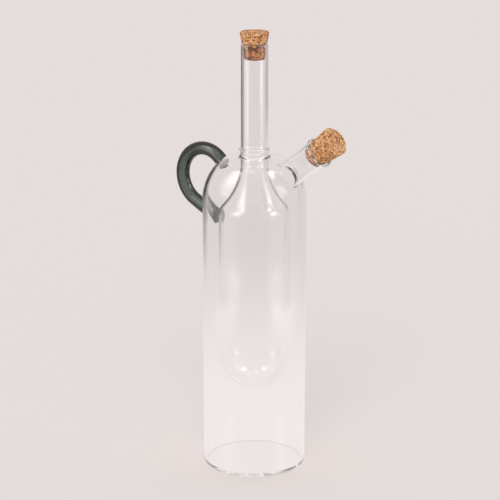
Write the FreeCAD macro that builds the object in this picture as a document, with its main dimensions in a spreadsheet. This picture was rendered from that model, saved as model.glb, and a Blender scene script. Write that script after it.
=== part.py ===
import FreeCAD, Part
import math
import os

import Sketcher

# Glass oil and vinegar dispenser: a flask with a long neck, sealed inside a taller straight bottle,
# with a side spout, a rod handle and two tapered corks. Millimetres, +Z up, origin at the middle of
# the base. The spout points along +X and the handle along -X.

SIZES = {
    # Outer bottle
    "body_diameter": 70.0,
    "body_wall": 2.0,
    "floor_thickness": 2.0,
    "heel_radius": 1.8,
    "floor_fillet": 1.2,
    "straight_height": 187.0,
    "side_arc_radius": 36.0,
    "shoulder_arc_radius": 9.5,
    "crown_arc_radius": 88.0,
    "dome_rise": 29.7,
    # Ring seal, the thick bead of glass where the bottle is sealed to the neck
    "seal_bead": 1.1,
    "seal_step": 0.3,
    "seal_fillet": 2.2,
    "seal_rise": 5.4,
    # Inner flask and its neck
    "neck_diameter": 18.4,
    "neck_wall": 1.4,
    "neck_length": 75.1,
    "bell_drop": 2.7,
    "bell_length": 38.0,
    "bell_waist_share": 0.81,
    "flask_diameter": 48.6,
    "flask_straight": 99.5,
    # Side spout
    "spout_diameter": 18.4,
    "spout_wall": 1.6,
    "spout_angle": 36.8,
    "spout_drop": 1.1,
    "spout_reach": 67.7,
    "spout_flare": 1.1,
    "spout_flare_radius": 120.0,
    "spout_fillet": 3.0,
    # Handle rod
    "rod_diameter": 9.2,
    "rod_angle": 27.0,
    "rod_foot_drop": 16.7,
    "rod_run": 18.8,
    "rod_loop_radius": 19.5,
    "rod_loop_angle": 223.0,
    "rod_sink": 9.0,
    "rod_fillet": 1.6,
    # Corks: each is squeezed in its mouth and swells again above it
    "neck_stopper_stand": 8.2,
    "neck_stopper_depth": 10.0,
    "neck_stopper_widening": 2.25,
    "neck_stopper_swell": 0.8,
    "neck_stopper_taper": 0.65,
    "spout_stopper_stand": 15.2,
    "spout_stopper_depth": 4.0,
    "spout_stopper_widening": 1.35,
    "spout_stopper_swell": 0.1,
    "spout_stopper_taper": 1.35,
    "cork_swell_rise": 0.6,
    "cork_chamfer": 0.7,
    "cork_clearance": 0.15,
}

# Heights and radii that several pieces share
BODY_RADIUS = "sizes.body_diameter / 2"
NECK_RADIUS = "sizes.neck_diameter / 2"
SPOUT_RADIUS = "sizes.spout_diameter / 2"
SPOUT_RIM_RADIUS = f"({SPOUT_RADIUS} + sizes.spout_flare)"
DOME_TOP = "(sizes.straight_height + sizes.dome_rise)"
MOUTH_TOP = f"({DOME_TOP} + sizes.neck_length)"
BELL_TOP = f"({DOME_TOP} - sizes.bell_drop)"
BELL_FOOT = f"({BELL_TOP} - sizes.bell_length)"
BELL_SPREAD = "((sizes.flask_diameter - sizes.neck_diameter) / 2)"
BELL_RADII = f"(({BELL_SPREAD}^2 + sizes.bell_length^2) / (2 * {BELL_SPREAD}))"
WAIST_RADIUS = f"(sizes.bell_waist_share * {BELL_RADII})"
FLASK_CENTRE = f"({BELL_FOOT} - sizes.flask_straight)"
SPOUT_HEIGHT = "(sizes.straight_height - sizes.spout_drop)"

ON_SURFACE = 0.01
SAMPLES = 7
ORIGIN = (-1, 1)
LEVEL_AXIS = -1
UP_AXIS = -2
START, END, CENTRE = 1, 2, 3

doc = FreeCAD.newDocument("oil_dispenser")
sheet = doc.addObject("Spreadsheet::Sheet", "sizes")
for row, (alias, number) in enumerate(SIZES.items(), start=1):
    sheet.set(f"A{row}", alias)
    sheet.set(f"B{row}", str(number))
    sheet.setAlias(f"B{row}", alias)
doc.recompute()


def value(rule):
    """The number that a rule on the sheet's sizes gives."""
    return float(sheet.evalExpression(rule))


def meet(centre_a, radius_a, centre_b, radius_b):
    """Where two circles in the section plane cross, on the side away from the bottle's axis."""
    across = (centre_b[0] - centre_a[0], centre_b[1] - centre_a[1])
    apart = math.hypot(*across)
    along = (apart**2 + radius_a**2 - radius_b**2) / (2 * apart)
    aside = math.sqrt(radius_a**2 - along**2)
    unit = (across[0] / apart, across[1] / apart)
    points = [
        (centre_a[0] + along * unit[0] + side * aside * unit[1],
         centre_a[1] + along * unit[1] - side * aside * unit[0])
        for side in (-1, 1)
    ]
    return max(points)


def heading(start, end):
    """Direction from one point to another in the section plane, in degrees."""
    return math.degrees(math.atan2(end[1] - start[1], end[0] - start[0]))


class Outline:
    """A sketch whose lines and arcs are drawn one after another and then tied to the sizes."""

    def __init__(self, body, name, role="XZ_Plane"):
        planes = [item for item in body.Origin.OriginFeatures if item.Role == role]
        self.sketch = body.newObject("Sketcher::SketchObject", name)
        self.sketch.AttachmentSupport = [(planes[0], "")]
        self.sketch.MapMode = "FlatFace"
        self.ends = []

    def line(self, start, end):
        shape = Part.LineSegment(FreeCAD.Vector(*start, 0), FreeCAD.Vector(*end, 0))
        self.ends.append((START, END))
        return self.sketch.addGeometry(shape, False)

    def arc(self, centre, radius, first, last):
        """An arc from one angle to another in degrees, clockwise where the second is smaller."""
        circle = Part.Circle(FreeCAD.Vector(*centre, 0), FreeCAD.Vector(0, 0, 1), radius)
        low, high = sorted((math.radians(first), math.radians(last)))
        self.ends.append((START, END) if first < last else (END, START))
        return self.sketch.addGeometry(Part.ArcOfCircle(circle, low, high), False)

    def tie(self, kind, *where):
        return self.sketch.addConstraint(Sketcher.Constraint(kind, *where))

    def join(self, first, second, smooth=True):
        """The end of one stretch meets the start of the next, smoothly or at a corner."""
        kind = "Tangent" if smooth else "Coincident"
        self.tie(kind, first, self.ends[first][1], second, self.ends[second][0])

    def chain(self, *stretches):
        """Each stretch runs on smoothly into the next."""
        for first, second in zip(stretches[:-1], stretches[1:]):
            self.join(first, second)

    def start(self, stretch):
        return stretch, self.ends[stretch][0]

    def end(self, stretch):
        return stretch, self.ends[stretch][1]

    def measure(self, kind, rule, *where):
        """A dimension that follows a rule on the sizes."""
        index = self.tie(kind, *where, value(rule))
        self.sketch.setExpression(f"Constraints[{index}]", rule)

    def place(self, point, across, up):
        """A point's distance from the upright axis and its height follow rules on the sizes."""
        for kind, rule, axis in (("DistanceX", across, UP_AXIS), ("DistanceY", up, LEVEL_AXIS)):
            if value(rule) == 0:
                self.tie("PointOnObject", *point, axis)
            elif value(rule) < 0:
                self.measure(kind, f"-({rule})", *point, *ORIGIN)
            else:
                self.measure(kind, rule, *ORIGIN, *point)


def new_body(label):
    body = doc.addObject("PartDesign::Body", label)
    body.Label = label
    return body


def turn(body, outline, name):
    """Turn a half-section once round the body's own upright axis."""
    solid = body.newObject("PartDesign::Revolution", name)
    solid.Profile = outline.sketch
    solid.ReferenceAxis = (outline.sketch, ["V_Axis"])


def crown_circle(inset):
    """Centre and radius of the crown's arc, set in by the wall for the inside."""
    centre = (0, value(f"{DOME_TOP} - sizes.crown_arc_radius"))
    return centre, value(f"sizes.crown_arc_radius - {inset}")


def draw_bottle(outline, inset, heel, floor, crown_end):
    """Floor, heel, wall and domed shoulder of the bottle, set in by the wall for its inside."""
    radius = value(f"{BODY_RADIUS} - {inset}")
    heel_radius = value(heel)
    floor_level = value(floor)
    wall_top = value("sizes.straight_height")
    side_radius = value(f"sizes.side_arc_radius - {inset}")
    shoulder_radius = value(f"sizes.shoulder_arc_radius - {inset}")
    crown_centre, crown_radius = crown_circle(inset)
    side_centre = (radius - side_radius, wall_top)
    shoulder_centre = meet(side_centre, side_radius - shoulder_radius,
                           crown_centre, crown_radius - shoulder_radius)
    side_turn = heading(side_centre, shoulder_centre)
    shoulder_turn = heading(crown_centre, shoulder_centre)

    bottom = outline.line((0, floor_level), (radius - heel_radius, floor_level))
    heel_arc = outline.arc((radius - heel_radius, floor_level + heel_radius), heel_radius, -90, 0)
    wall = outline.line((radius, floor_level + heel_radius), (radius, wall_top))
    side = outline.arc(side_centre, side_radius, 0, side_turn)
    shoulder = outline.arc(shoulder_centre, shoulder_radius, side_turn, shoulder_turn)
    crown = outline.arc(crown_centre, crown_radius, shoulder_turn, crown_end)

    outline.chain(bottom, heel_arc, wall, side, shoulder, crown)
    outline.tie("Horizontal", bottom)
    outline.tie("Vertical", wall)
    outline.tie("PointOnObject", crown, CENTRE, UP_AXIS)
    outline.measure("Radius", heel, heel_arc)
    outline.measure("DistanceX", f"{BODY_RADIUS} - {inset}", *ORIGIN, *outline.start(wall))
    outline.measure("DistanceY", "sizes.straight_height", *ORIGIN, *outline.end(wall))
    outline.measure("Radius", f"sizes.side_arc_radius - {inset}", side)
    outline.measure("Radius", f"sizes.shoulder_arc_radius - {inset}", shoulder)
    outline.measure("Radius", f"sizes.crown_arc_radius - {inset}", crown)
    outline.measure("DistanceY", f"{DOME_TOP} - sizes.crown_arc_radius", *ORIGIN, crown, CENTRE)
    return bottom, crown


def make_bottle_form():
    """The bottle's outside as a full solid. Its ring seal is a foot on the crown and a bead above it."""
    body = new_body("bottle_form")
    outline = Outline(body, "bottle_section")
    neck = value(NECK_RADIUS)
    bead = value("sizes.seal_bead")
    step = value("sizes.seal_step")
    fillet = value("sizes.seal_fillet")
    top = value(f"{DOME_TOP} + sizes.seal_rise")
    bead_level = top - bead
    edge = neck + step
    crown_centre, crown_radius = crown_circle("0")
    fillet_rise = math.sqrt((crown_radius + fillet) ** 2 - (edge + fillet) ** 2)
    fillet_centre = (edge + fillet, crown_centre[1] + fillet_rise)
    landing = heading(crown_centre, fillet_centre)
    bead_foot = (edge, bead_level - math.sqrt(bead**2 - step**2))

    bottom, crown = draw_bottle(outline, "0", "sizes.heel_radius", "0", landing)
    foot = outline.arc(fillet_centre, fillet, landing + 180, 180)
    side = outline.line((edge, fillet_centre[1]), bead_foot)
    rounding = outline.arc((neck, bead_level), bead, heading((neck, bead_level), bead_foot), 90)
    lid = outline.line((neck, top), (0, top))
    spine = outline.line((0, top), (0, 0))
    outline.chain(crown, foot, side)
    outline.join(side, rounding, smooth=False)
    outline.join(rounding, lid)
    outline.join(lid, spine, smooth=False)
    outline.join(spine, bottom, smooth=False)
    outline.tie("Coincident", *outline.start(bottom), *ORIGIN)
    outline.tie("Vertical", side)
    outline.measure("Radius", "sizes.seal_fillet", foot)
    outline.measure("Radius", "sizes.seal_bead", rounding)
    outline.measure("DistanceX", f"{NECK_RADIUS} + sizes.seal_step", *ORIGIN, *outline.start(side))
    outline.place((rounding, CENTRE), NECK_RADIUS, f"{DOME_TOP} + sizes.seal_rise - sizes.seal_bead")
    outline.place(outline.end(lid), "0", f"{DOME_TOP} + sizes.seal_rise")
    turn(body, outline, "bottle_turned")
    return body


def make_bottle_cavity():
    """The space inside the bottle, one wall in from the outside."""
    body = new_body("bottle_cavity")
    outline = Outline(body, "cavity_section")
    bottom, crown = draw_bottle(outline, "sizes.body_wall", "sizes.floor_fillet", "sizes.floor_thickness", 90)
    top = value(f"{DOME_TOP} - sizes.body_wall")
    spine = outline.line((0, top), (0, value("sizes.floor_thickness")))
    outline.join(crown, spine, smooth=False)
    outline.join(spine, bottom, smooth=False)
    outline.place(outline.start(bottom), "0", "sizes.floor_thickness")
    outline.tie("PointOnObject", *outline.start(spine), UP_AXIS)
    turn(body, outline, "cavity_turned")
    return body


def set_along_spout(item):
    """Put an item's origin where the spout's axis crosses the bottle's, with its Z along the spout."""
    item.Placement = FreeCAD.Placement(FreeCAD.Vector(), FreeCAD.Rotation(FreeCAD.Vector(0, 1, 0), 1))
    item.setExpression("Placement.Base.z", SPOUT_HEIGHT)
    item.setExpression("Placement.Rotation.Angle", "90 - sizes.spout_angle")


def make_cylinder(name, radius, height):
    cylinder = doc.addObject("Part::Cylinder", name)
    cylinder.setExpression("Radius", radius)
    cylinder.setExpression("Height", height)
    return cylinder


def cut(name, base, tool):
    result = doc.addObject("Part::Cut", name)
    result.Base = base
    result.Tool = tool
    result.Label = name
    return result


def junction(fused, form, touches):
    """Numbers of the edges of a fused shape that run where a rod or tube leaves the form."""
    shell = form.Shape.Shells[0]
    numbers = []
    for number, edge in enumerate(fused.Shape.Edges, start=1):
        if edge.Degenerated:
            continue
        points = edge.discretize(SAMPLES)
        seated = all(shell.distToShape(Part.Vertex(point))[0] < ON_SURFACE for point in points)
        if seated and all(touches(point) for point in points):
            numbers.append(number)
    return numbers


def seal_on(name, form, piece, touches, radius):
    """A piece flame-sealed to the bottle: its foot spreads in a fillet and ends on the bottle's skin."""
    fused = doc.addObject("Part::Fuse", f"{name}_on_form")
    fused.Base = form
    fused.Tool = piece
    doc.recompute()
    rounded = doc.addObject("Part::Fillet", f"{name}_rounded")
    rounded.Base = fused
    rounded.Edges = [(number, value(radius), value(radius)) for number in junction(fused, form, touches)]
    return cut(name, rounded, form)


def make_outer_body(form):
    """Straight tube with a flat floor and a domed shoulder, open at the ring seal and at the spout."""
    neck_hole = make_cylinder("neck_hole", NECK_RADIUS, MOUTH_TOP)
    neck_hole.setExpression("Placement.Base.z", BELL_FOOT)
    spout_hole = make_cylinder("spout_hole", f"{SPOUT_RADIUS} - sizes.spout_wall", "sizes.spout_reach")
    set_along_spout(spout_hole)
    hollow = doc.addObject("Part::MultiFuse", "bottle_hollow")
    hollow.Shapes = [make_bottle_cavity(), neck_hole, spout_hole]
    return cut("outer_body", form, hollow)


def make_inner_flask():
    """Round-bottomed flask drawn up through a bell into the neck, blown as one piece."""
    body = new_body("inner_flask")
    outline = Outline(body, "flask_section")
    wall = value("sizes.neck_wall")
    neck = value(NECK_RADIUS)
    flask = value("sizes.flask_diameter / 2")
    centre = value(FLASK_CENTRE)
    bell_foot = value(BELL_FOOT)
    bell_top = value(BELL_TOP)
    rim = value(f"{MOUTH_TOP} - sizes.neck_wall / 2")
    upper = value(WAIST_RADIUS)
    lower = value(BELL_RADII) - upper
    upper_centre = (neck + upper, bell_top)
    lower_centre = (flask - lower, bell_foot)
    bend = heading(lower_centre, upper_centre)

    bowl = outline.arc((0, centre), flask, -90, 0)
    side = outline.line((flask, centre), (flask, bell_foot))
    swell = outline.arc(lower_centre, lower, 0, bend)
    waist = outline.arc(upper_centre, upper, 180 + bend, 180)
    neck_side = outline.line((neck, bell_top), (neck, rim))
    lip = outline.arc((neck - wall / 2, rim), wall / 2, 0, 180)
    bore = outline.line((neck - wall, rim), (neck - wall, bell_top))
    inner_waist = outline.arc(upper_centre, upper + wall, 180, 180 + bend)
    inner_swell = outline.arc(lower_centre, lower - wall, bend, 0)
    inner_side = outline.line((flask - wall, bell_foot), (flask - wall, centre))
    inner_bowl = outline.arc((0, centre), flask - wall, 0, -90)
    spine = outline.line((0, centre - flask + wall), (0, centre - flask))

    outline.chain(bowl, side, swell, waist, neck_side, lip,
                  bore, inner_waist, inner_swell, inner_side, inner_bowl)
    outline.join(inner_bowl, spine, smooth=False)
    outline.join(spine, bowl, smooth=False)
    for upright in (side, neck_side, bore, inner_side):
        outline.tie("Vertical", upright)
    for item in (outline.start(bowl), outline.end(inner_bowl), (bowl, CENTRE)):
        outline.tie("PointOnObject", *item, UP_AXIS)
    outline.tie("Coincident", inner_bowl, CENTRE, bowl, CENTRE)
    outline.tie("Coincident", inner_swell, CENTRE, swell, CENTRE)
    outline.tie("Coincident", inner_waist, CENTRE, waist, CENTRE)
    outline.place(outline.start(side), "sizes.flask_diameter / 2", FLASK_CENTRE)
    outline.measure("DistanceY", BELL_FOOT, *ORIGIN, *outline.end(side))
    outline.measure("Radius", WAIST_RADIUS, waist)
    outline.place(outline.start(neck_side), NECK_RADIUS, BELL_TOP)
    outline.measure("DistanceY", f"{MOUTH_TOP} - sizes.neck_wall / 2", *ORIGIN, lip, CENTRE)
    outline.measure("Radius", "sizes.neck_wall / 2", lip)
    turn(body, outline, "flask_turned")
    return body


def make_side_spout(form):
    """Short tube sealed to the shoulder, with a fire-polished rim that opens a little."""
    tube = new_body("spout_tube")
    outline = Outline(tube, "spout_section")
    wall = value("sizes.spout_wall")
    radius = value(SPOUT_RADIUS)
    flare = value("sizes.spout_flare_radius")
    rim_radius = value(SPOUT_RIM_RADIUS)
    rim_level = value("sizes.spout_reach - sizes.spout_wall / 2")
    bend = math.degrees(math.acos(1 - (rim_radius - radius) / flare))
    flare_level = rim_level - (flare + wall / 2) * math.sin(math.radians(bend))
    flare_centre = (radius + flare, flare_level)
    lip_centre = (flare_centre[0] - (flare + wall / 2) * math.cos(math.radians(bend)), rim_level)

    side = outline.line((radius, 0), (radius, flare_level))
    flared = outline.arc(flare_centre, flare, 180, 180 - bend)
    lip = outline.arc(lip_centre, wall / 2, -bend, 180 - bend)
    inner_flared = outline.arc(flare_centre, flare + wall, 180 - bend, 180)
    bore = outline.line((radius - wall, flare_level), (radius - wall, 0))
    end = outline.line((radius - wall, 0), (radius, 0))
    outline.chain(side, flared, lip, inner_flared, bore)
    outline.join(bore, end, smooth=False)
    outline.join(end, side, smooth=False)
    outline.tie("Vertical", side)
    outline.tie("Vertical", bore)
    outline.tie("Coincident", inner_flared, CENTRE, flared, CENTRE)
    outline.tie("PointOnObject", *outline.start(end), LEVEL_AXIS)
    outline.place(outline.start(side), SPOUT_RADIUS, "0")
    outline.measure("Radius", "sizes.spout_flare_radius", flared)
    outline.measure("Radius", "sizes.spout_wall / 2", lip)
    outline.measure("DistanceX", SPOUT_RIM_RADIUS, *ORIGIN, *outline.end(flared))
    outline.measure("DistanceY", "sizes.spout_reach - sizes.spout_wall / 2", *ORIGIN, lip, CENTRE)
    turn(tube, outline, "spout_turned")
    set_along_spout(tube)
    doc.recompute()

    def on_outside(point):
        local = tube.Placement.inverse().multVec(point)
        return abs(math.hypot(local.x, local.y) - radius) < ON_SURFACE

    return seal_on("side_spout", form, tube, on_outside, "sizes.spout_fillet")


def make_handle(form):
    """Solid rod that leaves the wall, runs out, bends round in a loop and goes down to the shoulder."""
    rod = new_body("handle_rod")
    radius = value("sizes.rod_diameter / 2")
    sink = value("sizes.rod_sink")
    run = value("sizes.rod_sink + sizes.rod_run")
    loop = value("sizes.rod_loop_radius")
    angle = value("sizes.rod_loop_angle")
    end_across = "sizes.rod_loop_radius * (1 - cos(sizes.rod_loop_angle))"
    end_up = "sizes.rod_sink + sizes.rod_run + sizes.rod_loop_radius * sin(sizes.rod_loop_angle)"
    landing = (value(end_across), value(end_up))
    tail_end = (landing[0] + sink * math.sin(math.radians(angle)),
                landing[1] + sink * math.cos(math.radians(angle)))

    section = Outline(rod, "rod_section", role="XY_Plane")
    section.sketch.addGeometry(Part.Circle(FreeCAD.Vector(), FreeCAD.Vector(0, 0, 1), radius), False)
    section.tie("Coincident", 0, CENTRE, *ORIGIN)
    section.measure("Radius", "sizes.rod_diameter / 2", 0)

    route = Outline(rod, "rod_route")
    straight = route.line((0, 0), (0, run))
    bend = route.arc((loop, run), loop, 180, 180 - angle)
    tail = route.line(landing, tail_end)
    route.chain(straight, bend, tail)
    route.tie("Coincident", *route.start(straight), *ORIGIN)
    route.tie("PointOnObject", *route.end(straight), UP_AXIS)
    route.measure("DistanceY", "sizes.rod_sink + sizes.rod_run", *ORIGIN, *route.end(straight))
    route.measure("Radius", "sizes.rod_loop_radius", bend)
    route.measure("DistanceX", end_across, *ORIGIN, *route.end(bend))
    route.measure("Distance", "sizes.rod_sink", tail)

    swept = rod.newObject("PartDesign::AdditivePipe", "rod_bent")
    swept.Profile = section.sketch
    swept.Spine = (route.sketch, ["Edge1", "Edge2", "Edge3"])

    rod.Placement = FreeCAD.Placement(FreeCAD.Vector(), FreeCAD.Rotation(FreeCAD.Vector(0, 1, 0), 1))
    rod.setExpression("Placement.Rotation.Angle", "sizes.rod_angle - 90")
    sunk_in = "sizes.rod_sink * cos(sizes.rod_angle)"
    sunk_down = "sizes.rod_sink * sin(sizes.rod_angle)"
    rod.setExpression("Placement.Base.x", f"{sunk_in} - {BODY_RADIUS}")
    rod.setExpression("Placement.Base.z", f"sizes.straight_height - sizes.rod_foot_drop - {sunk_down}")
    doc.recompute()
    shell = rod.Shape.Shells[0]

    def on_rod(point):
        return shell.distToShape(Part.Vertex(point))[0] < ON_SURFACE

    return seal_on("handle", form, rod, on_rod, "sizes.rod_fillet")


def make_stopper(label, bore_radius):
    """Tapered cork, squeezed where it enters the mouth, whose level is the cork's own origin."""
    body = new_body(label)
    outline = Outline(body, f"{label}_section")
    grip = f"{bore_radius} - sizes.cork_clearance"
    head = f"{grip} + sizes.{label}_widening"
    tip = f"{grip} - sizes.{label}_taper"
    stand = f"sizes.{label}_stand"
    depth = f"sizes.{label}_depth"
    corners = [
        ("0", f"-{depth}"),
        (f"{tip} - sizes.cork_chamfer", f"-{depth}"),
        (tip, f"sizes.cork_chamfer - {depth}"),
        (grip, "0"),
        (f"{grip} + sizes.{label}_swell", "sizes.cork_swell_rise"),
        (head, f"{stand} - sizes.cork_chamfer"),
        (f"{head} - sizes.cork_chamfer", stand),
        ("0", stand),
    ]
    points = [(value(across), value(up)) for across, up in corners]
    sides = [outline.line(first, second) for first, second in zip(points, points[1:] + points[:1])]
    for first, second in zip(sides, sides[1:] + sides[:1]):
        outline.join(first, second, smooth=False)
    for side, (across, up) in zip(sides, corners):
        outline.place(outline.start(side), across, up)
    turn(body, outline, f"{label}_turned")
    return body


def make_neck_stopper():
    body = make_stopper("neck_stopper", f"{NECK_RADIUS} - sizes.neck_wall")
    body.setExpression("Placement.Base.z", MOUTH_TOP)
    return body


def make_spout_stopper():
    body = make_stopper("spout_stopper", f"{SPOUT_RIM_RADIUS} - sizes.spout_wall")
    set_along_spout(body)
    body.setExpression("Placement.Base.x", "sizes.spout_reach * cos(sizes.spout_angle)")
    body.setExpression("Placement.Base.z", f"{SPOUT_HEIGHT} + sizes.spout_reach * sin(sizes.spout_angle)")
    return body


bottle = make_bottle_form()
doc.recompute()
pieces = [
    make_outer_body(bottle),
    make_inner_flask(),
    make_side_spout(bottle),
    make_handle(bottle),
    make_neck_stopper(),
    make_spout_stopper(),
]
doc.recompute()

for item in doc.Objects:
    if "Invalid" in item.State or "Error" in item.State:
        raise RuntimeError(f"{item.Label} did not build: {item.State}")
for piece in pieces:
    if piece.Shape.isNull() or not piece.Shape.isValid() or len(piece.Shape.Solids) != 1:
        raise RuntimeError(f"{piece.Label} is not one valid solid")

os.makedirs("parts", exist_ok=True)
for piece in pieces:
    piece.Shape.exportStep(f"parts/{piece.Label}.step")
    box = piece.Shape.BoundBox
    print(f"{piece.Label}: {piece.Shape.Volume:.0f} mm3, x {box.XMin:.1f} to {box.XMax:.1f},",
          f"y {box.YMin:.1f} to {box.YMax:.1f}, z {box.ZMin:.1f} to {box.ZMax:.1f}")
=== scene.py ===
from math import acos, atan2, cos, hypot, pi, radians, sin, sqrt

import bmesh
import bpy
from mathutils import Matrix, Vector
from mathutils.bvhtree import BVHTree
from mathutils.kdtree import KDTree


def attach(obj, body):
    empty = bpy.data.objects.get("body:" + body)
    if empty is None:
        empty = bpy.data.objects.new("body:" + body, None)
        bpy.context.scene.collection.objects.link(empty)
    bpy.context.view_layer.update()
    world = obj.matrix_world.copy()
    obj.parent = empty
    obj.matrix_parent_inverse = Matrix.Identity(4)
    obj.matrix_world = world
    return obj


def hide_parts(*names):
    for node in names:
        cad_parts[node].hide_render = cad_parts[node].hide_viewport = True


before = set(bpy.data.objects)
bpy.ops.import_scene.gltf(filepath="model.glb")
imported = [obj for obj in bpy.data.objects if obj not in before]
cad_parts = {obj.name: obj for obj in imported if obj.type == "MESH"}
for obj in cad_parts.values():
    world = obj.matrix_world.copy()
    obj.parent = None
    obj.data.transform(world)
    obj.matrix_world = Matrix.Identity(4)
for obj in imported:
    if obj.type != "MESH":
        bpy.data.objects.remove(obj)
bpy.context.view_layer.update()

# The outer bottle: a tall straight tube of clear borosilicate glass. The lampworker closes
# it with a flat floor and a rounded heel, and draws it in at the top to a low dome. Its
# sizes are in millimetres, as all sizes of the dispenser are.

MM = 0.001
ROUND_STEPS = 144
END_STEP = 0.2
END_SHARE = 0.3
WELD = 0.001

BODY_R = 35.0
BODY_WALL = 2.0
BASE_WALL = 2.0
BASE_FILLET = 1.2
HEEL_R = 1.8
WALL_TOP = 187.0
SIDE_ARC = 36.0
SHOULDER_ARC = 9.5
CROWN_ARC = 88.0
CROWN_TOP = 216.7


class Section:
    """Half a cross-section, drawn in the plane of X and Z, that is then spun round Z."""

    def __init__(self, x, z):
        self.mesh = bmesh.new()
        self.tip = self.mesh.verts.new((x, 0, z))

    def line(self, x, z, steps=1):
        """Draws on to (x, z). A short step at each end keeps the glass straight."""
        start = self.tip.co.copy()
        run = Vector((x, 0, z)) - start
        margin = min(END_STEP / run.length, END_SHARE)
        for share in [margin] + [n / steps for n in range(1, steps)] + [1 - margin, 1]:
            made = bmesh.ops.extrude_vert_indiv(self.mesh, verts=[self.tip])
            self.tip = made["verts"][0]
            self.tip.co = start + run * share

    def arc(self, x, z, turn, steps):
        """Turns the tip round (x, z), anticlockwise for a positive turn."""
        made = bmesh.ops.spin(
            self.mesh,
            geom=[self.tip],
            cent=(x, 0, z),
            axis=(0, -1, 0),
            angle=turn,
            steps=steps,
        )
        self.tip = [v for v in made["geom_last"] if isinstance(v, bmesh.types.BMVert)][0]

    def spin(self, steps):
        """Turns the whole section once round Z, closes its seam and gives its mesh."""
        mesh = self.mesh
        bmesh.ops.spin(
            mesh,
            geom=mesh.verts[:] + mesh.edges[:],
            cent=(0, 0, 0),
            axis=(0, 0, 1),
            angle=2 * pi,
            steps=steps,
            use_merge=True,
        )
        bmesh.ops.remove_doubles(mesh, verts=mesh.verts, dist=WELD)
        bmesh.ops.recalc_face_normals(mesh, faces=mesh.faces)
        return mesh


def draw_bottle(section, inset):
    """The wall from its foot to the crown, inset by the wall for the inside. The shoulder's
    arc is placed so that it runs smoothly into the arcs of the side and the crown."""
    side_x = BODY_R - SIDE_ARC
    crown_z = CROWN_TOP - CROWN_ARC
    near, far = SIDE_ARC - SHOULDER_ARC, CROWN_ARC - SHOULDER_ARC
    gap = hypot(side_x, WALL_TOP - crown_z)
    lean = atan2(crown_z - WALL_TOP, -side_x)
    reach = lean + acos((near**2 + gap**2 - far**2) / (2 * near * gap))
    centre_x = side_x + near * cos(reach)
    centre_z = WALL_TOP + near * sin(reach)
    steep = atan2(centre_z - crown_z, centre_x)
    section.line(BODY_R - inset, WALL_TOP, steps=24)
    section.arc(side_x, WALL_TOP, reach, steps=16)
    section.arc(centre_x, centre_z, steep - reach, steps=14)
    return CROWN_ARC - inset, crown_z, steep


# The inner flask: a slim round-bottomed flask of the same clear glass, blown in one piece
# with its bell and its long neck. It hangs inside the bottle and touches it nowhere else
# than at the neck.

FLASK_R = 24.3
FLASK_BALL_Z = 76.5
BELL_FOOT = 176.0
BELL_TOP = 214.0
BELL_ARC = 10.52
WAIST_ARC = 44.85
NECK_R = 9.2
NECK_WALL = 1.4
MOUTH_Z = 291.8


def draw_flask(section, inset, neck_steps):
    """The bell, wall and round bottom of the flask, from the neck down to the axis."""
    waist_x = NECK_R + WAIST_ARC
    bell_x = FLASK_R - BELL_ARC
    turn = atan2(BELL_TOP - BELL_FOOT, waist_x - bell_x)
    section.line(NECK_R - inset, BELL_TOP, steps=neck_steps)
    section.arc(waist_x, BELL_TOP, turn, steps=22)
    section.arc(bell_x, BELL_FOOT, -turn, steps=14)
    section.line(FLASK_R - inset, FLASK_BALL_Z, steps=8)
    section.arc(0, FLASK_BALL_Z, -pi / 2, steps=22)


# The side spout: a short slanted tube of clear glass on the shoulder, with a mouth that is
# opened a little and rounded in the flame. The bottle is pierced there before it goes on.

SPOUT_ANGLE = radians(36.8)
SPOUT_LEVEL = 185.9
SPOUT_START = 26.0
SPOUT_REACH = 67.7
SPOUT_R = 9.2
SPOUT_WALL = 1.6
SPOUT_RIM_R = 10.3
SPOUT_LIP = 0.9
FLARE_ARC = 120.0
BORE_OVERRUN = 2
SPOUT_STEPS = 72
SPOUT_AXIS = Vector((cos(SPOUT_ANGLE), 0, sin(SPOUT_ANGLE)))


def along_spout(mesh):
    """Leans a shape that stands upright on Z along the spout."""
    lean = Matrix.Rotation(pi / 2 - SPOUT_ANGLE, 3, "Y")
    bmesh.ops.rotate(mesh, verts=mesh.verts, cent=(0, 0, 0), matrix=lean)
    bmesh.ops.translate(mesh, verts=mesh.verts, vec=(0, 0, SPOUT_LEVEL))
    return mesh


def spout_rod(radius, rim_radius, lip):
    """A round bar along the spout, flared and rounded into its rim. A negative lip turns
    outwards, for the bore, which runs on past the rim."""
    flare = acos(1 - (rim_radius - radius) / FLARE_ARC)
    brow = SPOUT_REACH - abs(lip)
    straight = brow - FLARE_ARC * sin(flare)
    end = SPOUT_REACH
    rod = Section(0, SPOUT_START)
    rod.line(radius, SPOUT_START)
    rod.line(radius, straight, steps=26)
    rod.arc(radius + FLARE_ARC, straight, -flare, steps=12)
    rod.arc(rim_radius - lip, brow, pi / 2 if lip > 0 else -pi / 2, steps=8)
    if lip < 0:
        end += BORE_OVERRUN
        rod.line(rim_radius - lip, end)
    rod.line(0, end)
    return along_spout(rod.spin(SPOUT_STEPS))


# The glass vessel: the bottle, flask and spout made one. The lampworker seals the bottle's
# crown to the neck in a ring, with a bead above it, and melts the spout's foot into the
# shoulder. The glass runs through these seals without a joint line.

SEAL_R = 9.5
SEAL_FILLET = 2.2
BEAD_R = 1.1
BEAD_Z = 221.0
ROOT_END = 52
ROOT_R = 15
ROOT_WELD = 0.25
ROOT_CORNER = 0.3
ROOT_SHARES = (0.4, 0.7, 1.0)
ROOT_PASSES = 6
OUTER_ROOT = 3.2
INNER_ROOT = 3.0
MOST_SIDES = 4
LIT_THROUGH = 0.97


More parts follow.
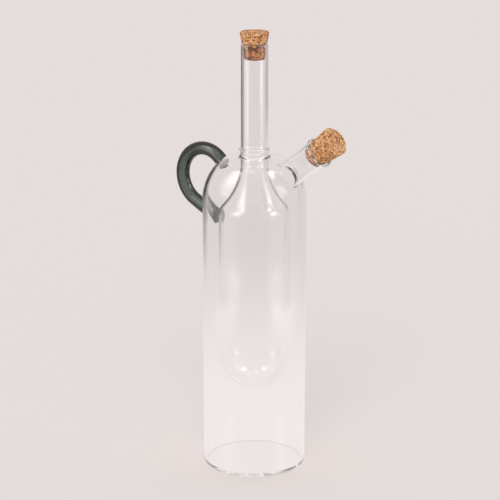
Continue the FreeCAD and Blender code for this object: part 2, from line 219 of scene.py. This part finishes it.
def outer_skin():
    """Outside of bottle, seal and neck, over the lip and down the inside of the flask."""
    skin = Section(0, 0)
    skin.line(BODY_R - HEEL_R, 0, steps=6)
    skin.arc(BODY_R - HEEL_R, HEEL_R, pi / 2, steps=6)
    crown, crown_z, steep = draw_bottle(skin, 0)
    fillet_x = SEAL_R + SEAL_FILLET
    fillet_z = crown_z + sqrt((crown + SEAL_FILLET) ** 2 - fillet_x**2)
    rise = atan2(fillet_z - crown_z, fillet_x)
    skin.arc(0, crown_z, rise - steep, steps=26)
    skin.arc(fillet_x, fillet_z, -rise, steps=8)
    half = acos((SEAL_R - NECK_R) / BEAD_R)
    skin.line(SEAL_R, BEAD_Z - BEAD_R * sin(half))
    skin.arc(NECK_R, BEAD_Z, half + pi / 2, steps=10)
    lip = NECK_WALL / 2
    skin.line(NECK_R, MOUTH_Z - lip, steps=6)
    skin.arc(NECK_R - lip, MOUTH_Z - lip, pi, steps=8)
    draw_flask(skin, NECK_WALL, neck_steps=6)
    return skin.spin(ROUND_STEPS)


def chamber_skin():
    """Inside of the bottle and outside of the flask: the space for oil, as a solid."""
    skin = Section(0, BASE_WALL)
    foot_x = BODY_R - BODY_WALL - BASE_FILLET
    skin.line(foot_x, BASE_WALL, steps=6)
    skin.arc(foot_x, BASE_WALL + BASE_FILLET, pi / 2, steps=5)
    crown, crown_z, steep = draw_bottle(skin, BODY_WALL)
    skin.arc(0, crown_z, acos(NECK_R / crown) - steep, steps=26)
    draw_flask(skin, 0, neck_steps=1)
    return skin.spin(ROUND_STEPS)


def to_object(mesh, name):
    """Puts a mesh into the scene as an object."""
    data = bpy.data.meshes.new(name)
    mesh.to_mesh(data)
    mesh.free()
    made = bpy.data.objects.new(name, data)
    bpy.context.scene.collection.objects.link(made)
    return made


def joined(base_mesh, tool_mesh, operation):
    """Fuses the tool with the base, or cuts it away."""
    base, tool = to_object(base_mesh, "base"), to_object(tool_mesh, "tool")
    join = base.modifiers.new("join", "BOOLEAN")
    join.operation = operation
    join.solver = "EXACT"
    join.object = tool
    bpy.context.view_layer.update()
    ready = base.evaluated_get(bpy.context.evaluated_depsgraph_get())
    result = bmesh.new()
    result.from_mesh(bpy.data.meshes.new_from_object(ready))
    for used in (base, tool):
        bpy.data.objects.remove(used)
    return result


def soften_root(mesh, width):
    """Melts the sharp corner where the spout meets the shoulder into a soft one. Its points
    are welded in the order of their places, because they come out of the join in another
    order each time."""
    foot = Vector((0, 0, SPOUT_LEVEL))

    def at_root(vert):
        along = (vert.co - foot).dot(SPOUT_AXIS)
        off = (vert.co - foot - SPOUT_AXIS * along).length
        return SPOUT_START + 1 < along < ROOT_END and off < ROOT_R

    close = sorted((v for v in mesh.verts if at_root(v)), key=lambda v: v.co[:])
    bmesh.ops.remove_doubles(mesh, verts=close, dist=ROOT_WELD)
    corner = set()
    for edge in mesh.edges:
        if len(edge.link_faces) == 2 and all(at_root(v) for v in edge.verts):
            if edge.calc_face_angle() > ROOT_CORNER:
                corner.update(edge.verts)
    tree = KDTree(len(corner))
    for number, vert in enumerate(corner):
        tree.insert(vert.co, number)
    tree.balance()
    for share in ROOT_SHARES:
        near = [v for v in mesh.verts if tree.find(v.co)[2] < width * share]
        for _ in range(ROOT_PASSES):
            bmesh.ops.smooth_vert(
                mesh,
                verts=near,
                factor=0.5,
                use_axis_x=True,
                use_axis_y=True,
                use_axis_z=True,
            )
    return mesh


def feed(tree, node, sockets):
    """Gives each named socket of a node its value, or the output that feeds it."""
    for key, value in sockets.items():
        if isinstance(value, bpy.types.NodeSocket):
            tree.links.new(value, node.inputs[key])
        else:
            node.inputs[key].default_value = value


def add_node(tree, kind, sockets=None, **settings):
    """Adds a shader node with its settings and sockets."""
    node = tree.nodes.new("ShaderNode" + kind)
    for key, value in settings.items():
        setattr(node, key, value)
    feed(tree, node, sockets or {})
    return node


def ramp(tree, factor, stops):
    """The colour that a factor has on a scale of (place, colour) stops."""
    node = add_node(tree, "ValToRGB", {"Fac": factor})
    scale = node.color_ramp
    while len(scale.elements) < len(stops):
        scale.elements.new(0.5)
    for element, (place, colour) in zip(scale.elements, stops):
        element.position = place
        element.color = (*colour, 1)
    return node.outputs["Color"]


def for_rays(tree, *kinds):
    """1 for light rays of any of these kinds, and 0 for the rest."""
    rays = add_node(tree, "LightPath").outputs
    found = rays[f"Is {kinds[0]} Ray"]
    for kind in kinds[1:]:
        either = {0: found, 1: rays[f"Is {kind} Ray"]}
        found = add_node(tree, "Math", either, operation="MAXIMUM").outputs[0]
    return found


def show_mixed(tree, output, share, first, second):
    """Shows the first shader, and the second by the share."""
    both = {"Fac": share, 1: first.outputs[0], 2: second.outputs[0]}
    mix = add_node(tree, "MixShader", both)
    feed(tree, tree.nodes[output], {"Surface": mix.outputs[0]})


def new_material(name):
    """A material with its node tree and the shader that comes in it."""
    made = bpy.data.materials.new(name)
    made.use_nodes = True
    return made, made.node_tree, made.node_tree.nodes["Principled BSDF"]


def glass(name, colour, edge, edge_shade_range, roughness, index):
    """Glass with its own tint face on and painted shade edge on. Lamps shine through it."""
    made, tree, shader = new_material(name)
    # Painted shade: the tone runs from the glass's own tint face on to the darker edge tone
    # where its surface is seen edge on.
    facing = add_node(tree, "LayerWeight", {"Blend": 0.5}).outputs["Facing"]
    surface = {
        "Base Color": ramp(tree, facing, tuple(zip(edge_shade_range, (colour, edge)))),
        "Roughness": roughness,
        "IOR": index,
        "Transmission Weight": 1,
    }
    feed(tree, shader, surface)
    tint = (*[LIT_THROUGH * c for c in colour], 1)
    passing = add_node(tree, "BsdfTransparent", {"Color": tint})
    show_mixed(tree, "Material Output", for_rays(tree, "Shadow"), shader, passing)
    return made


def to_piece(mesh, name, material):
    """Makes a mesh in millimetres a finished piece, smooth but for its many-sided caps."""
    bmesh.ops.scale(mesh, verts=mesh.verts, vec=(MM, MM, MM))
    for face in mesh.faces:
        face.smooth = len(face.verts) <= MOST_SIDES
    made = to_object(mesh, name)
    made.data.materials.append(material)
    return made


tube = spout_rod(SPOUT_R, SPOUT_RIM_R, SPOUT_LIP)
bore = spout_rod(SPOUT_R - SPOUT_WALL, SPOUT_RIM_R - SPOUT_WALL, -SPOUT_LIP)
outside = soften_root(joined(outer_skin(), tube, "UNION"), OUTER_ROOT)
inside = soften_root(joined(chamber_skin(), bore, "UNION"), INNER_ROOT)
vessel_mesh = joined(outside, inside, "DIFFERENCE")
many_sided = [f for f in vessel_mesh.faces if len(f.verts) > MOST_SIDES]
bmesh.ops.triangulate(vessel_mesh, faces=many_sided)

# The edge tone is painted shade that darkens the clear glass where a wall is seen edge on.
clear_glass = glass(
    "clear borosilicate",
    colour=(0.987, 0.99, 0.986),
    edge=(0.8, 0.8, 0.79),
    edge_shade_range=(0.84, 1.0),
    roughness=0.0,
    index=1.47,
)
vessel = to_piece(vessel_mesh, "glass_vessel", clear_glass)
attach(vessel, "vessel")
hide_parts("outer_body", "inner_flask", "side_spout")

# The handle: a rod of dark grey-green glass, bent round in a loop while it is soft. Its two
# ends are pressed on to the hot wall and the shoulder and melt into a foot there.

ROD_R = 4.6
ROD_STEPS = 40
ROD_ANGLE = radians(27)
LOOP_X = 42.9
LOOP_Z = 196.2
LOOP_R = 19.5
LOOP_TURN = radians(197)
LOOP_STEPS = 72
FOOT_SPREAD = 0.3
FOOT_SINK = 0.35
FOOT_STATIONS = ((0.35, 0), (0.62, 0), (0.76, 0.06), (0.87, 0.3), (0.95, 0.65), (1, 1))


def to_skin(point, heading):
    """Distance along the heading to the vessel's outside, and a little into the glass."""
    return glass_tree.ray_cast(point * MM, heading)[3] / MM + FOOT_SINK


def press_on(mesh, ring, heading):
    """Carries a ring of the rod along its heading on to the glass, spreading into a foot. A
    station is a share of the way and how far the foot has spread there."""
    centre = sum((v.co for v in ring), Vector()) / len(ring)
    rim = set(ring)
    edges = [e for e in mesh.edges if e.is_boundary and rim.issuperset(e.verts)]
    reach = to_skin(centre, heading)
    for share, spread in FOOT_STATIONS:
        made = bmesh.ops.extrude_edge_only(mesh, edges=edges)["geom"]
        edges = [g for g in made if isinstance(g, bmesh.types.BMEdge) and g.is_boundary]
        for v in [g for g in made if isinstance(g, bmesh.types.BMVert)]:
            level = (v.co - centre).dot(heading)
            out = v.co - centre - heading * level
            away = out.normalized() * (ROD_R + FOOT_SPREAD * spread)
            full = to_skin(centre + away, heading)
            v.co = centre + away + heading * (reach * share + (full - reach) * share**3)
    bmesh.ops.contextual_create(mesh, geom=edges)


glass_tree = BVHTree.FromObject(vessel, bpy.context.evaluated_depsgraph_get())
heading = Vector((-cos(ROD_ANGLE), 0, sin(ROD_ANGLE)))
bend_x = -LOOP_X - LOOP_R * sin(ROD_ANGLE)
bend_z = LOOP_Z - LOOP_R * cos(ROD_ANGLE)
rod = bmesh.new()
bmesh.ops.create_circle(rod, cap_ends=False, segments=ROD_STEPS, radius=ROD_R)
first_ring = rod.verts[:]
across = heading.to_track_quat("Z", "Y").to_matrix()
bmesh.ops.rotate(rod, verts=first_ring, cent=(0, 0, 0), matrix=across)
bmesh.ops.translate(rod, verts=first_ring, vec=(bend_x, 0, bend_z))
loop = bmesh.ops.spin(
    rod,
    geom=first_ring + rod.edges[:],
    cent=(-LOOP_X, 0, LOOP_Z),
    axis=(0, 1, 0),
    angle=LOOP_TURN,
    steps=LOOP_STEPS,
)
last_ring = [g for g in loop["geom_last"] if isinstance(g, bmesh.types.BMVert)]
press_on(rod, first_ring, -heading)
press_on(rod, last_ring, Matrix.Rotation(LOOP_TURN, 3, "Y") @ heading)
bmesh.ops.recalc_face_normals(rod, faces=rod.faces)

# The face-on colour is the rod's own grey-green tint; the nearly black edge tone is painted
# shade where the rod is seen edge on.
dark_glass = glass(
    "dark grey-green glass",
    colour=(0.12, 0.162, 0.136),
    edge=(0.001, 0.002, 0.0015),
    edge_shade_range=(0.03, 0.28),
    roughness=0.01,
    index=1.5,
)
handle = to_piece(rod, "handle_rod", dark_glass)
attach(handle, "vessel")
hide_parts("handle")

# The neck's cork: pressed from cork grains and binder, turned to a taper with a broad top.
# It is pushed into the mouth by hand and bulges a little just above the lip.

NECK_CORK = ((7.0, 281.8), (7.65, 291.8), (8.45, 292.4), (9.9, 300.0))
# Share of painted shade on the part of the cork inside the neck.
NECK_PAINTED_SHADE = 1.0
CORK_CHAMFER = 0.7
CORK_STEPS = 72
# How far above the mouth the painted shade reaches.
SHADE_ABOVE_MOUTH = 0.2

GRAIN_BROWNS = (
    (0.0, (0.34, 0.12, 0.04)),
    (0.25, (0.66, 0.27, 0.10)),
    (0.55, (0.95, 0.49, 0.19)),
    (0.8, (1.0, 0.72, 0.40)),
    (1.0, (0.95, 0.50, 0.36)),
)
CRUMB_TONES = ((0.38, (0.38, 0.31, 0.27)), (0.55, (1.0, 1.0, 1.0)))
CRUMB_ROUGHNESS = ((0.3, (0.95, 0.95, 0.95)), (0.7, (0.7, 0.7, 0.7)))
BINDER_TONES = ((0.0, (0.52, 0.42, 0.36)), (0.11, (1.0, 1.0, 1.0)))
FLECK_SHARE = ((0.85, (0, 0, 0)), (0.9, (1, 1, 1)))
FLECK_BROWN = (0.13, 0.045, 0.025, 1)
# Painted shade tones, laid over the cork where it sits inside the glass.
PAINTED_SHADE_TONES = ((0.2, (0.14, 0.065, 0.035)), (0.8, (0.85, 0.58, 0.34)))
GRAINS = 900.0
FLECKS = 1600.0
CRUMBS = 3200.0
GRAIN_WARP = 1300.0
WARP_REACH = 0.0008
CRUMB_SHARE = 0.8
BINDER_SHARE = 0.5
PIT_SHARE = 0.6
PIT_DEPTH = 0.0003


def cork_solid(stations, painted_shade):
    """A tapered cork through its (radius, height) stations, upright on Z. Up to just above
    its second station, where the mouth of the glass is, it is marked for painted shade by
    the share."""
    tip, mouth, head = stations[0], stations[1], stations[-1]
    solid = Section(0, tip[1])
    solid.line(tip[0] - CORK_CHAMFER, tip[1], steps=4)
    solid.line(tip[0], tip[1] + CORK_CHAMFER, steps=2)
    for radius, level in stations[1:-1]:
        solid.line(radius, level, steps=8)
    slope = (head[0] - stations[-2][0]) / (head[1] - stations[-2][1])
    solid.line(head[0] - slope * CORK_CHAMFER, head[1] - CORK_CHAMFER, steps=10)
    solid.line(head[0] - CORK_CHAMFER, head[1], steps=2)
    solid.line(0, head[1], steps=6)
    mesh = solid.spin(CORK_STEPS)
    shade_share = mesh.verts.layers.float.new("shade_share")
    for v in mesh.verts:
        v[shade_share] = painted_shade if v.co.z < mouth[1] + SHADE_ABOVE_MOUTH else 0
    return mesh


def cork(name):
    """Pressed cork: grains of many browns in a paler binder, dark flecks, pits and painted
    shade in the glass.
    """
    made, tree, shader = new_material(name)

    def laid_over(share, low, high, kind="MULTIPLY"):
        colours = {"Factor": share, 6: low, 7: high}
        return add_node(tree, "Mix", colours, data_type="RGBA", blend_type=kind).outputs[2]

    def cells(scale, **settings):
        sockets = {"Vector": bent, "Scale": scale}
        return add_node(tree, "TexVoronoi", sockets, **settings).outputs

    def lots(colour):
        return add_node(tree, "SeparateColor", {"Color": colour}).outputs

    place = add_node(tree, "TexCoord").outputs["Object"]
    wave = add_node(tree, "TexNoise", {"Vector": place, "Scale": GRAIN_WARP, "Detail": 3.0})
    sway = {0: wave.outputs["Color"], "Scale": WARP_REACH}
    shift = add_node(tree, "VectorMath", sway, operation="SCALE").outputs[0]
    bent = add_node(tree, "VectorMath", {0: place, 1: shift}, operation="ADD").outputs[0]
    fine = {"Vector": place, "Scale": CRUMBS, "Detail": 4.0, "Roughness": 0.7}
    crumb = add_node(tree, "TexNoise", fine).outputs["Fac"]
    crumbs = ramp(tree, crumb, CRUMB_TONES)
    grain = lots(cells(GRAINS)["Color"])
    edges = cells(GRAINS, feature="DISTANCE_TO_EDGE")["Distance"]
    binder = ramp(tree, edges, BINDER_TONES)
    fleck = ramp(tree, lots(cells(FLECKS)["Color"])["Green"], FLECK_SHARE)

    mottled = laid_over(CRUMB_SHARE, ramp(tree, grain["Red"], GRAIN_BROWNS), crumbs)
    bound = laid_over(BINDER_SHARE, mottled, binder)
    flecked = laid_over(fleck, bound, FLECK_BROWN, "MIX")
    # Painted shade: the part of the cork inside the glass is darkened by its marked share.
    shade_share = add_node(tree, "Attribute", attribute_name="shade_share").outputs["Fac"]
    painted_shade = laid_over(shade_share, flecked, ramp(tree, grain["Green"], PAINTED_SHADE_TONES))
    height = laid_over(PIT_SHARE, binder, crumbs)
    pits = {"Height": height, "Strength": 0.7, "Distance": PIT_DEPTH}
    surface = {
        "Base Color": painted_shade,
        "Roughness": ramp(tree, crumb, CRUMB_ROUGHNESS),
        "Normal": add_node(tree, "Bump", pits).outputs["Normal"],
        "Specular IOR Level": 0.2,
    }
    feed(tree, shader, surface)
    return made


cork_grain = cork("agglomerated cork")
neck_cork = to_piece(cork_solid(NECK_CORK, NECK_PAINTED_SHADE), "neck_cork_plug", cork_grain)
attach(neck_cork, "neck_cork")
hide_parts("neck_stopper")

# The spout's cork: the same pressed cork, shorter in the glass and longer outside it. It is
# pushed by hand into the flared rim.

SPOUT_CORK = ((7.2, 61.2), (8.55, 67.7), (8.65, 68.3), (9.9, 82.9))
# Share of painted shade on the part of the spout's cork inside the glass.
SPOUT_PAINTED_SHADE = 0.35

leaning_cork = along_spout(cork_solid(SPOUT_CORK, SPOUT_PAINTED_SHADE))
spout_cork = to_piece(leaning_cork, "spout_cork_plug", cork_grain)
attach(spout_cork, "spout_cork")
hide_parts("spout_stopper")

# The studio: a wide pale floor that runs out of sight, soft light from all round and one
# broad lamp. White and grey boards out of the picture give the glass its streaks and edges.
# The studio's sizes are in metres.

PALE = (0.783, 0.723, 0.708)
PALE_IN_GLASS = (0.768, 0.714, 0.711)
FLOOR_R = 6
FLOOR_GAP = 0.0003
# Painted pool of light on the floor as the glass sees it: brighter near the dispenser,
# dimmer farther off.
PAINTED_LIGHT_POOL = {"From Min": 0.1, "From Max": 0.6, "To Min": 1.16, "To Max": 0.93}
SOFT_LIGHT = 0.6
LAMP_POWER = 2.1
LAMP_SPREAD = radians(40)
LAMP_HEADING = (-0.48, 0.87, -0.75)
CAMERA_SIDE = radians(38)

ground = bmesh.new()
bmesh.ops.create_circle(ground, cap_ends=True, segments=96, radius=FLOOR_R)
bmesh.ops.translate(ground, verts=ground.verts, vec=(0, 0, -FLOOR_GAP))
floor = to_object(ground, "floor")
paper, tree, shader = new_material("pale paper")
feed(tree, shader, {"Base Color": (*PALE, 1), "Roughness": 0.9, "Specular IOR Level": 0})
# Seen in the glass, the floor glows pale, with a painted pool of light round the dispenser.
place = add_node(tree, "TexCoord").outputs["Object"]
away = add_node(tree, "VectorMath", {0: place}, operation="LENGTH").outputs["Value"]
painted_pool = add_node(tree, "MapRange", {"Value": away, **PAINTED_LIGHT_POOL}, interpolation_type="SMOOTHSTEP")
glow = {"Color": (*PALE_IN_GLASS, 1), "Strength": painted_pool.outputs["Result"]}
behind = add_node(tree, "Emission", glow)
seen_in_glass = for_rays(tree, "Glossy", "Transmission")
show_mixed(tree, "Material Output", seen_in_glass, shader, behind)
floor.data.materials.append(paper)

world = bpy.data.worlds.new("studio")
world.use_nodes = True
bpy.context.scene.world = world
tree = world.node_tree
soft = tree.nodes["Background"]
feed(tree, soft, {"Color": (1, 1, 1, 1), "Strength": SOFT_LIGHT})
backdrop = add_node(tree, "Background", {"Color": (*PALE, 1)})
seen = for_rays(tree, "Camera", "Glossy", "Transmission")
show_mixed(tree, "World Output", seen, soft, backdrop)

sun = bpy.data.lights.new("broad lamp", "SUN")
sun.energy = LAMP_POWER
sun.angle = LAMP_SPREAD
lamp = bpy.data.objects.new("broad lamp", sun)
lamp.rotation_euler = Vector(LAMP_HEADING).to_track_quat("-Z", "Y").to_euler()
lamp.visible_glossy = False
lamp.visible_transmission = False
bpy.context.scene.collection.objects.link(lamp)

# Each board's name, angle in degrees from the camera, distance, width and height, level,
# tone, the share by which it fades at its left, right, foot and head, and how it is put.
BOARDS = (
    ("white_board_left", -72, 0.75, (0.75, 1.5), 0.25, 7.5, (0.5, 0.35, 0.35, 0.2), "up"),
    ("white_board_right", 76, 0.75, (0.65, 1.5), 0.25, 9.0, (0.35, 0.4, 0.35, 0.2), "up"),
    ("top_board", -30, 0.2, (0.6, 0.5), 1.2, 3.0, (0.3, 0.3, 0.3, 0.3), "flat"),
    ("neck_card_left", -70, 0.75, (0.45, 0.5), 0.0, 3.6, (0.35, 0.35, 0.1, 0.3), "up"),
    ("neck_card_right", 65, 0.75, (0.45, 0.4), 0.0, 3.2, (0.35, 0.35, 0.1, 0.3), "up"),
    ("grey_board_left", 215, 0.3, (0.2, 0.25), 0.05, 0.03, (0.2, 0.4, 0.4, 0.2), "up"),
    ("grey_board_right", 145, 0.3, (0.2, 0.1), 0.16, 0.5, (0.4, 0.2, 0.3, 0.2), "up"),
    ("low_card_left", -66, 0.1, (0.14, 0.12), 0.09, 1.0, (0.4, 0.4, 0.1, 0.1), "up"),
    ("low_card_right", 66, 0.1, (0.14, 0.12), 0.09, 1.0, (0.4, 0.4, 0.1, 0.1), "up"),
    ("table_card_left", -72, 0.55, (0.4, 0.55), 0.002, 2.2, (0.4, 0.4, 0.3, 0.2), "flat"),
    ("table_card_right", 72, 0.55, (0.5, 0.55), 0.002, 2.6, (0.4, 0.4, 0.3, 0.2), "flat"),
)
BOARD_SIDES = (("X", 0, 1), ("X", 1, -1), ("Y", 0, 1), ("Y", 1, -1))


def board(name, side, distance, size, level, tone, fades, put):
    """A board that glows evenly and fades out at its sides. Only gloss and glass see it."""
    width, height = size
    sheet = bmesh.new()
    sheet.loops.layers.uv.new("sheet")
    bmesh.ops.create_grid(sheet, x_segments=1, y_segments=1, size=0.5, calc_uvs=True)
    bmesh.ops.scale(sheet, verts=sheet.verts, vec=(width, height, 1))
    if put == "up":
        upright = Matrix.Rotation(pi / 2, 3, "X")
        bmesh.ops.rotate(sheet, verts=sheet.verts, cent=(0, 0, 0), matrix=upright)
        level += height / 2
    bmesh.ops.translate(sheet, verts=sheet.verts, vec=(0, -distance, level))
    turn = Matrix.Rotation(CAMERA_SIDE + radians(side), 3, "Z")
    bmesh.ops.rotate(sheet, verts=sheet.verts, cent=(0, 0, 0), matrix=turn)
    made = to_object(sheet, name)

    tint, tree, shader = new_material(name)
    tree.nodes.remove(shader)
    glow = add_node(tree, "Emission", {"Color": (*PALE, 1), "Strength": tone})
    clear = add_node(tree, "BsdfTransparent")
    place = add_node(tree, "TexCoord").outputs["UV"]
    across = add_node(tree, "SeparateXYZ", {0: place}).outputs
    cover = 1
    for (axis, start, inwards), fade in zip(BOARD_SIDES, fades):
        full = start + inwards * fade
        rise = {"Value": across[axis], "From Min": start, "From Max": full}
        risen = add_node(tree, "MapRange", rise).outputs["Result"]
        product = {0: cover, 1: risen}
        cover = add_node(tree, "Math", product, operation="MULTIPLY").outputs[0]
    show_mixed(tree, "Material Output", cover, clear, glow)
    made.data.materials.append(tint)
    made.visible_camera = False
    made.visible_diffuse = False
    made.visible_shadow = False


for facts in BOARDS:
    board(*facts)

scene = bpy.context.scene
scene.view_settings.view_transform = "Standard"
scene.cycles.max_bounces = 96
scene.cycles.transmission_bounces = 96
scene.cycles.transparent_max_bounces = 32
scene.cycles.glossy_bounces = 64

# The camera stands in front and to the right, a little above the mouth, and looks down at
# the dispenser through a long lens.

CAMERA_YAW = 0.0023
CAMERA_PITCH = 0.2711
CAMERA_AWAY = 1.2869
CAMERA_HEIGHT = 0.5087
CAMERA_LENS = 141.98
CAMERA_SENSOR = 36

view = bpy.data.cameras.new("camera")
view.lens = CAMERA_LENS
view.sensor_width = CAMERA_SENSOR
camera = bpy.data.objects.new("camera", view)
camera.location = (
    sin(CAMERA_SIDE) * CAMERA_AWAY,
    -cos(CAMERA_SIDE) * CAMERA_AWAY,
    CAMERA_HEIGHT,
)
camera.rotation_euler = (pi / 2 - CAMERA_PITCH, 0, CAMERA_SIDE + CAMERA_YAW)
scene.collection.objects.link(camera)
scene.camera = camera
